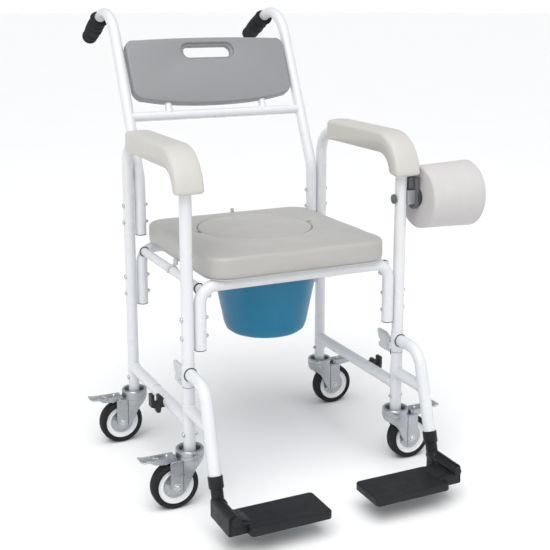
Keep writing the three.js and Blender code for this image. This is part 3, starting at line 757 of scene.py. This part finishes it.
# Clips under the seat that snap over the side tubes, and the snap stud at its rear edge.
bm = bmesh.new()
for side in (-1, 1):
    clip = arc(217, 455.5, 12.4, -20, 200, 16) + arc(217, 455.5, 10.1, 200, -20, 16)
    add_plate_xz(bm, [[(side * x, z) for x, z in clip]], -14, 11, 0.7)
    add_block(bm, (min(side * 204, side * 213), -19, 466.4), (max(side * 204, side * 213), -9, 479.5), 1.6)
finish("seat_clips", bm, "seat", "seat_vinyl", look=LOOKS["latch_grey"])
bm = bmesh.new()
add_turned(bm, [(0, 0), (5.2, 0), (5.4, 1.2), (4.0, 2.2), (3.8, 5.2), (4.9, 6), (4.7, 8.2), (3.4, 9),
                (0, 9.2)], (15, 199, 521.8), Z, 28)
finish("seat_stud", bm, "seat", "seat_vinyl", look=BRIGHT)

profile = [(0, 507), (70, 507), (126.5, 507.1), (128.6, 508.2), (129.3, 510.5), (129.5, 517.5),
           (129.2, 519.9), (128.2, 521.5), (126.2, 522.3), (122, 522.5)]
profile += [(r, 522.5) for r in (112, 98, 82, 64, 44, 22)] + [(0, 522.5)]
bm = bmesh.new()
add_turned(bm, profile, (0, LID_Y, 0), Z, 96)
lid = finish("lid_cushion", bm, "lid", "seat_vinyl", "seat_lid", sharp=70)
puff(lid, list(range(96 * 6)), 4.0, 0.0025)
lid.modifiers.new("smooth", "SUBSURF").render_levels = 1

wall = [(0, 297.4), (58, 297.2), (61, 296.8), (68, 296.8), (71, 297.6), (80, 299.5), (88, 305.5), (93, 318.8)]
outer = [(93 + 34.3 * (z - 297) / 171.5 - 4.4, z) for z in (340, 380, 420, 448)]
rim = [(118.2, 449), (119.8, 451), (120.2, 455), (121, 464), (122.3, 467.8), (126, 468.4), (131, 468.4),
       (132.4, 469.2), (132.5, 470.6), (131.6, 471.4), (124, 471.4), (121.2, 470.6), (119.6, 467),
       (117.6, 452), (115.8, 446)]
inner = [(r - 2.6, z) for r, z in reversed(outer[:-1])] + [(90, 320), (85, 307.5), (78, 302.4), (62, 300.2),
                                                           (0, 300)]
bm = bmesh.new()
add_turned(bm, wall + outer + rim + inner, (0, -18.5, 0), Z, 96)
finish("bucket_shell", bm, "bucket", "bucket_blue", "bucket", sharp=40)

# ------------------------------------------------------------------ casters
TRAIL, WHEEL_Z, ARM_Y = 35.2, 50, 18.5
FORK_EDGE = [(49, 50), (48.4, 46), (47, 43), (45, 40.6), (42, 38.2), (38.5, 36.6), (35.2, 36), (31, 36.2),
             (27, 37), (23.4, 38.6), (20, 40.5), (16, 44), (12, 49), (8, 57), (5, 64), (1, 72), (-3, 79),
             (-10, 88), (-16, 94), (-18.5, 95.5)]


def fork_low(x):
    """Height of the pressed fork's lower edge."""
    for (x0, z0), (x1, z1) in zip(FORK_EDGE, FORK_EDGE[1:]):
        if x1 <= x <= x0:
            return z0 + (z1 - z0) * (x0 - x) / (x0 - x1)
    return FORK_EDGE[-1][1]


def add_fork(bm, thickness=2.6, rows=12):
    """One sheet pressed into a U: two arms joined round the back of the stem, flared into the cup."""
    plan = [(x, -ARM_Y, 0, -1) for x, z in FORK_EDGE[:14] + [(23.1, 0), (21.5, 0), (21.2, 0), (2.5, 0)]]
    plan.sort(key=lambda p: -p[0])
    for k in range(13):
        a = math.radians(-90 - 15 * k)
        plan.append((ARM_Y * math.cos(a), ARM_Y * math.sin(a), math.cos(a), math.sin(a)))
    plan += [(x, -y, 0, 1) for x, y, nx, ny in reversed(plan[:18])]
    skins = []
    for face in (0.5, -0.5):
        grid = []
        for x, y, nx, ny in plan:
            low = fork_low(x)
            column = []
            for r in range(rows + 1):
                z = low + (104.4 - low) * r / rows
                flare = 7.5 * ease((z - 84) / 20) * ease((22 - x) / 24)
                bulge = 0.9 if x < 21.4 else -2.6 if x < 23.3 else -0.3
                out = flare + bulge + face * thickness
                column.append(bm.verts.new((x + nx * out, y + ny * out, z)))
            grid.append(column)
        for one, two in zip(grid, grid[1:]):
            for r in range(rows):
                bm.faces.new((one[r], two[r], two[r + 1], one[r + 1]))
        skins.append(grid)
    front, back = skins
    border = lambda g: ([c[0] for c in g] + g[-1][1:] + [c[-1] for c in reversed(g[:-1])]
                        + list(reversed(g[0][1:-1])))
    one, two = border(front), border(back)
    for i in range(len(one)):
        j = (i + 1) % len(one)
        bm.faces.new((one[i], one[j], two[j], two[i]))


def add_wheel_ring(bm, half, segments=80):
    """Turns half a profile [(radius, half width)] and its mirror image about the axle."""
    profile = [(r, -h) for r, h in half] + [(r, h) for r, h in reversed(half)]
    add_turned(bm, profile, (TRAIL, 0, WHEEL_Z), Y, segments)


def caster(end_name, end, side_name, side):
    place = Matrix.Translation((side * LEG_X, end * LEG_Y, 0)) @ Matrix.Diagonal((side, 1, 1, 1))
    tag = end_name + "_" + side_name
    body, wheel, brake = "caster_" + tag, "wheel_" + tag, "brake_" + tag

    bm = bmesh.new()
    cup = [(0, 103), (24, 103), (27.6, 103.5), (29.1, 105), (29.5, 107.4), (29.5, 110.4), (28.9, 111),
           (28.9, 112), (29.5, 112.6), (29.5, 119.4), (29.1, 122.4), (27.8, 124.4), (25.8, 125),
           (24, 124.5), (22.9, 123.2), (22.5, 120), (22.3, 111.2), (21, 110.2), (14.4, 110.2), (13, 111.4),
           (12.6, 116.4), (0, 116.6)]
    add_turned(bm, cup, (0, 0, 0), Z, 64)
    add_block(bm, (4, -18.6, 102.6), (47, 18.6, 106.2), 1.2)
    add_fork(bm)
    finish(body + "_yoke", bm, body, "caster_zinc", body + "_fork", sharp=48, where=place)

    bm = bmesh.new()
    for k in range(14):
        a = 2 * math.pi * k / 14
        profile = [(2.1 * math.sin(t * math.pi / 8), -2.1 * math.cos(t * math.pi / 8)) for t in range(9)]
        add_turned(bm, profile, (17.6 * math.cos(a), 17.6 * math.sin(a), 112.4), Z, 12)
    finish(body + "_balls", bm, body, "caster_zinc", look=BRIGHT, where=place)
    # A dark ring on the floor of the cup's recess, under the balls: painted shade for the shadow down in the
    # recess.
    bm = bmesh.new()
    add_turned(bm, [(14, 110.6), (21.6, 110.6), (22, 113.4), (20.4, 113.8), (15.2, 113.2), (14, 112.6)],
               (0, 0, 0), Z, 48)
    finish(body + "_shade_ring", bm, body, "caster_zinc", look=DARK_AND_SHADE, where=place)

    bm = bmesh.new()
    for y, out in ((0.6 - ARM_Y, -1), (ARM_Y - 0.6, 1)):
        washer = [(0, 0), (8, 0), (8.2, 0.6), (8.2, 1.5), (7.6, 2), (0, 2)]
        add_turned(bm, washer, (TRAIL, y - 0.1 * out, WHEEL_Z), (0, out, 0), 32)
        head = [(0, 1.8), (5.4, 1.8), (5.4, 4.4), (4.7, 5.3), (0, 5.5)]
        add_turned(bm, head, (TRAIL, y - 0.1 * out, WHEEL_Z), (0, out, 0), 6)
    finish(body + "_axle", bm, body, "caster_zinc", look=BRIGHT, sharp=30, where=place)

    bm = bmesh.new()
    half = [(37, 11.2), (38.2, 12.6), (40.4, 13.6), (43.4, 14.6), (45.6, 14.4), (47.6, 13.2), (49, 11),
            (49.8, 8.2), (50, 5)]
    add_wheel_ring(bm, half)
    finish(wheel + "_tread", bm, wheel, "tyre_black", body + "_tyre", where=place)

    bm = bmesh.new()
    half = [(26, 7.4), (27.2, 9.4), (28.2, 9.8), (30, 9.2), (33.2, 9.6), (35.4, 11), (36.6, 12.4),
            (37.5, 12.6), (38, 11.8)]
    add_wheel_ring(bm, half)
    finish(wheel + "_ring", bm, wheel, "rim_white", body + "_rim", where=place)

    bm = bmesh.new()
    half = [(4.6, 15.8), (9.4, 15.8), (10.6, 15.0), (11.2, 12.4), (13.4, 9.4), (20, 8.2), (24, 8.6),
            (26, 9.4), (27, 9.2), (27.4, 7)]
    add_wheel_ring(bm, half, 64)
    for k in range(6):
        a = math.radians(60 * k + 20)
        tip = Vector((math.cos(a), 0, math.sin(a)))
        for y in (-8.6, 8.6):
            hub = Vector((TRAIL, y, WHEEL_Z))
            add_tube(bm, [hub + tip * 12, hub + tip * 25], 1.3, 0, 2, 10)
    finish(wheel + "_hub", bm, wheel, "caster_zinc", where=place)

    bm = bmesh.new()
    pedal = [(34, 110), (34, 114.4), (88, 114.4), (88, 111.8), (60, 111.4), (58, 99.6), (46, 102.6),
             (46, 110)]
    add_plate_xz(bm, [smooth_loop(pedal, 1.6, 3)], 0, 25, 0.8)
    flange = [(33, 105.6), (33, 114.6), (86, 114.6), (90, 111.5), (80, 104.6), (66, 102.4), (48, 102.4)]
    for y in (-12.8, 12.8):
        add_plate_xz(bm, [smooth_loop(flange, 3, 4)], y, 2.2, 0.8)
    add_tube(bm, [(41, -16.8, 109), (41, 16.8, 109)], 3.4, 0, 4, 20)
    finish(brake + "_plate", bm, brake, "caster_zinc", body + "_brake_pedal", where=place)

    bm = bmesh.new()
    add_plate_xy(bm, [smooth_loop([(70, -9), (70, 9), (83, 0)], 1.6, 3)], 115, 1.6, 0.6)
    add_bolt_head(bm, (50, 0, 114.6), Z, 4.2)
    tip = [(84, 110.8), (84, 115.4), (99, 115.6), (106, 117.4), (109.4, 117.2), (109.8, 115), (101, 111)]
    add_plate_xz(bm, [smooth_loop(tip, 1.4, 3)], 0, 27.6, 1.2)
    for x in (88, 91.5, 95, 98.5, 102):
        add_block(bm, (x - 0.7, -11.5, 113.8), (x + 0.7, 11.5, 116.2 + max(0, x - 99) * 0.25), 0.5, 2)
    finish(brake + "_tip", bm, brake, "caster_zinc", look=BRIGHT, where=place)


for end_name, end in ENDS:
    for side_name, side in SIDES:
        caster(end_name, end, side_name, side)


# ------------------------------------------------------------------ swing-away footrests
HINGE_FRONT, HOOD_R, HOOD_INNER = -418, 13.6, 10.9
LEVER = [(-163, 249), (-155, 246), (-114, 246.5), (-108.5, 251), (-109, 257), (-118, 262.5), (-110, 266),
         (-102.5, 284), (-105, 288.5), (-136, 288), (-150, 280), (-163, 270)]


def footrest(name, side):
    mirror = Matrix.Diagonal((side, 1, 1, 1))
    body = "footrest_" + name
    leg = Vector((LEG_X, -LEG_Y, 0))
    elbow_top = on_hanger(LEG_X, 120)

    bm = bmesh.new()
    corner = on_hanger(LEG_X, 285)
    add_tube(bm, [(LEG_X, -LEG_Y - 11.6, 285), corner, elbow_top + DOWN_HANGER * 18], TUBE, 45, 16)
    strut = on_hanger(LEG_X, 208)
    add_tube(bm, [(LEG_X, -LEG_Y - 11.6, 208), (LEG_X, strut.y + 3, 208)], TUBE)
    for v in bm.verts:
        if v.co.y > -LEG_Y - 12:
            v.co.y = -LEG_Y - math.sqrt(13.4 ** 2 - min(12.8, abs(v.co.x - LEG_X)) ** 2)
    add_weld(bm, (LEG_X, strut.y + TUBE + 0.6, 208), Y, TUBE - 0.4)
    finish(body + "_tube", bm, body, "frame_paint", body + "_hanger", where=mirror)

    for part, low, high in (("upper", 257, 303), ("lower", 196, 221)):
        bm = bmesh.new()
        sleeve = [(13, low + 0.3), (13.3, low), (13.7, low + 0.7), (13.7, high - 0.7), (13.3, high),
                  (13, high - 0.3)]
        add_turned(bm, sleeve, leg, Z, 40)
        if part == "upper":
            for x in (-6.5, 6.5):
                ear = [(14 - LEG_Y, 257.5), (14 - LEG_Y, 272), (28 - LEG_Y, 272), (33 - LEG_Y, 266),
                       (33 - LEG_Y, 260)]
                add_plate_yz(bm, [smooth_loop(ear, 3, 4)], LEG_X + x, 2.8, 0.8)
        finish(body + "_sleeve_" + part, bm, body, "frame_paint", body + "_collar_" + part, where=mirror)

    bm = bmesh.new()
    add_turned(bm, [(12.6, -0.8), (14.2, -1.3), (14.9, 0), (14.2, 1.3), (12.6, 0.8)],
               (LEG_X, -LEG_Y - 13.6, 285), -Y, 48)
    add_turned(bm, [(12.9, -0.4), (13.3, -0.4), (13.4, 0), (13.3, 0.4), (12.9, 0.4)], leg + Z * 256.5, Z, 48)
    add_block(bm, (LEG_X - 4.5, -167.6, 243), (LEG_X + 4.5, -160.6, 256.6), 1.4)
    finish(body + "_seals", bm, body, "clip_black", look=DARK_AND_SHADE, where=mirror)

    bm = bmesh.new()
    add_plate_yz(bm, [smooth_loop(LEVER, 5, 6)], LEG_X, 8, 2.2)
    ridge = [Vector((LEG_X, y, z)) for y, z in ((-157, 272), (-137, 283.4), (-109, 284.6))]
    add_tube(bm, ridge, 4.6, 6, 8, 20)
    add_tube(bm, [(LEG_X, -158, 252), (LEG_X, -114, 251.4)], 4.6, 0, 8, 20)
    finish("latch_%s_handle" % name, bm, "latch_" + name, "latch_grey",
                body + "_latch_lever", where=mirror)
    bm = bmesh.new()
    pivot = Vector((LEG_X, 26 - LEG_Y, 264))
    add_tube(bm, [pivot - X * 8.6, pivot + X * 8.6], 3.4, 0, 4, 20)
    for out in (-1, 1):
        add_bolt_head(bm, pivot + X * 8.6 * out, X * out, 3.6)
    finish("latch_%s_pivot" % name, bm, "latch_" + name, "latch_grey", look=BRIGHT, where=mirror)

    bm = bmesh.new()
    socket = [(0, 4), (12.6, 4), (13.1, 0), (14.2, -0.6), (15, 0.4), (15, 21.6), (14.2, 23.6), (12.8, 24.2),
              (12.4, 26), (12.4, 65), (0, 66)]
    add_turned(bm, socket, elbow_top, DOWN_HANGER, 44)
    barrel = [(0, 0), (10.6, 0), (12.4, 0.8), (13, 2.4), (13, 24), (12.4, 25), (0, 25)]
    add_turned(bm, barrel, (LEG_X, -326, HINGE_Z), -Y, 44)
    add_block(bm, (LEG_X - 11, -351, 42.3), (LEG_X + HOOD_R - 0.6, -326.6, HINGE_Z), 2.2)
    hood = arc(LEG_X, HINGE_Z, HOOD_R, 0, 90, 16) + arc(LEG_X, HINGE_Z, HOOD_INNER, 90, 0, 16)
    hood += [(LEG_X + HOOD_INNER, 42), (LEG_X + HOOD_R, 42)]
    add_plate_xz(bm, [hood], (HINGE_FRONT - 326) / 2, -326 - HINGE_FRONT, 1.1)
    finish(body + "_knee", bm, body, "footrest_black", body + "_elbow", where=mirror)

    bm = bmesh.new()
    add_turned(bm, [(8, 0), (10.6, 0), (10.7, 0.4), (10.6, 0.8), (8, 0.8)], (LEG_X, -351.1, HINGE_Z), -Y, 44)
    add_turned(bm, [(0, 0), (4.4, 0), (4.4, 3.6), (3.2, 4.6), (0, 4.8)], (LEG_X - 6.5, -331, 83.5), -Y, 24)
    finish(body + "_washer", bm, body, "footrest_black", look=BRIGHT, where=mirror)

    bm = bmesh.new()
    reach = -330 - HINGE_FRONT
    add_turned(bm, [(0, 0), (4.5, 0), (4.5, reach + 1), (0, reach + 1)], (LEG_X, -330, HINGE_Z), -Y, 32)
    cap = [(0, 1), (10.2, 1), (10.2, 5.2), (8.4, 9.4), (5, 10.2), (0, 10.2)]
    add_turned(bm, cap, (LEG_X, HINGE_FRONT, HINGE_Z), -Y, 8)
    finish(body + "_pin", bm, body, "footrest_black", body + "_hinge_pin", where=mirror)

    bm = bmesh.new()
    add_plate_xy(bm, [rounded(50, 223, -437, -346, 9, 8)], 49, 17, 3)
    web = [(-36, -14.6), (-36, -31), (10.3, -31), (10.3, 0), (0, 7), (-10, -8.5)]
    web = [(LEG_X + x, HINGE_Z + z) for x, z in web]
    middle = (HINGE_FRONT + 0.5 - 352) / 2
    add_plate_xz(bm, [web], middle, -352.5 - HINGE_FRONT, 0.9)
    add_plate_xz(bm, [smooth_loop([(LEG_X - 40, 57), (LEG_X - 24, 57), (LEG_X - 12, 65),
                                   (LEG_X - 24, 62.6)], 2, 3)], middle, 40, 0.8)
    tube_wall = [(5.1, 0.4), (9.4, 0), (10.5, 1.1), (10.5, 64.4), (9.4, 65.5), (5.1, 65.1)]
    add_turned(bm, tube_wall, (LEG_X, -352, HINGE_Z), -Y, 44)
    finish("footplate_%s_board" % name, bm, "footplate_" + name, "footrest_black",
                body + "_footplate", where=mirror)


for name, side in SIDES:
    footrest(name, side)

# ------------------------------------------------------------------ clips on the side rails
CLIP = [(6, -11), (16, -12), (18, -23), (26, -23), (28, -12), (39, -9), (39, 19), (31, 19), (31, 0),
        (22, 0), (22, 15), (15, 15), (13, 8), (6, 8)]
for name, side in SIDES:
    bm = bmesh.new()
    add_plate_xz(bm, [smooth_loop([(LEG_X + x, RAIL_Z + z) for x, z in CLIP], 1.6, 3)], -50, 18, 1.0)
    mirror = Matrix.Diagonal((side, 1, 1, 1))
    finish("storage_clip_" + name, bm, "frame", "clip_black", "rail_clip_" + name, where=mirror)

# ------------------------------------------------------------------ paper roll and its holder
ROLL_Z, ROLL_IN, ROLL_OUT, ROLL_R, CORE_R = 602.5, 289, 420, 72.5, 20
ROLL_AXIS = (0, -LEG_Y, ROLL_Z)


def roll_rings(profile, sides=120):
    """Rings round the roll's axis; the paper laps over itself at its loose end."""
    rings = []
    for x, r in profile:
        ring = []
        for k in range(sides):
            a = 2 * math.pi * k / sides
            lap = 0.9 * (1 - k / sides) * max(0, (r - 60) / 12.5)
            swell = (r / ROLL_R) ** 2 * (4.2 * (x - ROLL_IN) / (ROLL_OUT - ROLL_IN) - 3.4)
            out = r - 0.9 + lap + swell + 0.5 * math.sin(2 * a + x * 0.02) * (r / ROLL_R)
            ring.append(Vector((x, -LEG_Y + out * math.cos(a + 2.2), ROLL_Z + out * math.sin(a + 2.2))))
        rings.append(ring)
    return rings


bm = bmesh.new()
profile = [(ROLL_IN + 0.4, CORE_R + 1.9), (ROLL_IN, 30), (ROLL_IN + 0.2, 50), (ROLL_IN, 66),
           (ROLL_IN + 0.6, 70.6), (ROLL_IN + 2.4, 72.4)]
profile += [(ROLL_IN + 2.4 + 12.62 * k, 72.5) for k in range(1, 10)]
profile += [(ROLL_OUT - 2.4, 72.4), (ROLL_OUT - 0.6, 70.6), (ROLL_OUT, 66), (ROLL_OUT - 0.2, 50),
            (ROLL_OUT, 30), (ROLL_OUT - 0.4, CORE_R + 1.9)]
add_loft(bm, roll_rings(profile), close=True)
finish("tissue_roll", bm, "paper_roll", "paper", "paper_roll", sharp=50)
bm = bmesh.new()
tube_wall = [(19.6, ROLL_IN + 0.6), (21.4, ROLL_IN + 0.6), (21.4, ROLL_OUT - 0.6), (19.6, ROLL_OUT - 0.6)]
add_turned(bm, tube_wall, ROLL_AXIS, X, 64)
finish("roll_core", bm, "paper_roll", "paper", look=CARD)

bm = bmesh.new()
add_block(bm, (LEG_X + 8, -16 - LEG_Y, 590), (275, 16 - LEG_Y, 622), 2.4)
for z in (597, 615):
    add_bolt_head(bm, (275, -LEG_Y - 9.5, z), X, 2.6)
finish("roll_bracket", bm, "frame", "clamp_steel", "roll_clamp")

bm = bmesh.new()
arm = arc(1 - LEG_Y, 592, 15, 180, 360, 16) + [(16 - LEG_Y, 648), (-14 - LEG_Y, 648)]
add_plate_yz(bm, [arm], 281.2, 11.6, 2.4)
add_block(bm, (263, -8 - LEG_Y, 622.4), (281, 16 - LEG_Y, 648), 1.8)
hub = [(0, 284), (17.6, 284), (17.6, 287.6), (17, 288.6), (17, ROLL_OUT - 9), (16, ROLL_OUT - 5),
       (13.6, ROLL_OUT - 3.4), (12, ROLL_OUT - 5), (0, ROLL_OUT - 5.4)]
add_turned(bm, hub, ROLL_AXIS, X, 48)
finish("roll_arm", bm, "frame", "holder_grey", "roll_holder")
bm = bmesh.new()
add_turned(bm, [(0, 283.4), (16.2, 283.4), (18.6, 285), (18.8, 287.4), (17.4, 288.4), (0, 288.4)],
           ROLL_AXIS, X, 48)
finish("roll_hub_cap", bm, "frame", "holder_grey", look=DARK_AND_SHADE)

bm = bmesh.new()
add_turned(bm, [(0, 227.5), (7.6, 227.5), (9.2, 228.5), (9.2, 232), (8, 233), (5.6, 233.2), (5.6, 234.4),
                (0, 234.4)], ROLL_AXIS, X, 36)
for k in range(9):
    a = math.radians(40 * k)
    lobe = Vector((0, 9.2 * math.cos(a), 9.2 * math.sin(a))) + Vector(ROLL_AXIS)
    add_tube(bm, [lobe + X * 228.2, lobe + X * 232.4], 1.5, 0, 2, 12)
finish("clamp_wheel", bm, "clamp_knob", "holder_grey", "clamp_knob")

# ------------------------------------------------------------------ floor, light and camera
floor_look = Nodes("floor_pale", (0.93, 0.93, 0.93), 0.8, Specular_IOR_Level=0.2)
floor_look.tint(floor_look.noise(2.2, 3), (0.915, 0.915, 0.917), high=0.5)
bm = bmesh.new()
bmesh.ops.create_circle(bm, cap_ends=True, segments=96, radius=60)
mesh = bpy.data.meshes.new("floor")
bm.to_mesh(mesh)
bm.free()
mesh.materials.append(floor_look.mat)
put("floor", mesh)

world = bpy.data.worlds.new("studio")
world.use_nodes = True
sky = world.node_tree
glow = sky.nodes["Background"]
glow.inputs["Strength"].default_value = 1.0
direction = sky.nodes.new("ShaderNodeSeparateXYZ")
ramp = sky.nodes.new("ShaderNodeValToRGB")
sky.links.new(sky.nodes.new("ShaderNodeTexCoord").outputs["Generated"], direction.inputs["Vector"])
sky.links.new(direction.outputs["Z"], ramp.inputs["Fac"])
sky.links.new(ramp.outputs["Color"], glow.inputs["Color"])
low, high = ramp.color_ramp.elements
low.position, low.color = 0.03, (1, 1, 1, 1)
high.position, high.color = 0.34, (0.40, 0.405, 0.415, 1)
bpy.context.scene.world = world
bpy.context.scene.view_settings.view_transform = "Standard"


def facing(direction):
    """Turn that points a lamp or a camera along a direction."""
    return direction.to_track_quat("-Z", "Y").to_euler()


def softbox(name, place, aim, size, power):
    light = bpy.data.lights.new(name, "AREA")
    light.shape = "RECTANGLE"
    light.size, light.size_y = size
    light.energy = power
    lamp = put(name, light)
    lamp.location = place
    lamp.rotation_euler = facing(Vector(aim) - Vector(place))


softbox("key", (-2.2, -2.6, 3.2), (0, 0, 0.5), (2.0, 2.0), 20)
softbox("fill", (3.0, -1.6, 2.2), (0, 0, 0.5), (2.0, 2.0), 6)
softbox("top", (0, 0.4, 3.6), (0, 0, 0.4), (3.0, 3.0), 9)
softbox("front", (-1.3, -3.4, 0.9), (0, 0, 0.3), (2.6, 1.4), 6.5)
light = bpy.data.lights.new("daylight", "SUN")
light.energy, light.angle = 2.25, math.radians(60)
put("daylight", light).rotation_euler = facing(Vector((0.25, 0.45, -1)))

lens = bpy.data.cameras.new("camera")
lens.sensor_width = 36
lens.lens = 68.133
lens.shift_y = -0.10
camera = put("camera", lens)
turn, tilt = math.radians(25.5615), math.radians(12.1917)
camera.location = at(-948.4, -2054.1, 1031.2)
look = Vector((math.sin(turn) * math.cos(tilt), math.cos(turn) * math.cos(tilt), -math.sin(tilt)))
camera.rotation_euler = facing(look)
bpy.context.scene.camera = camera
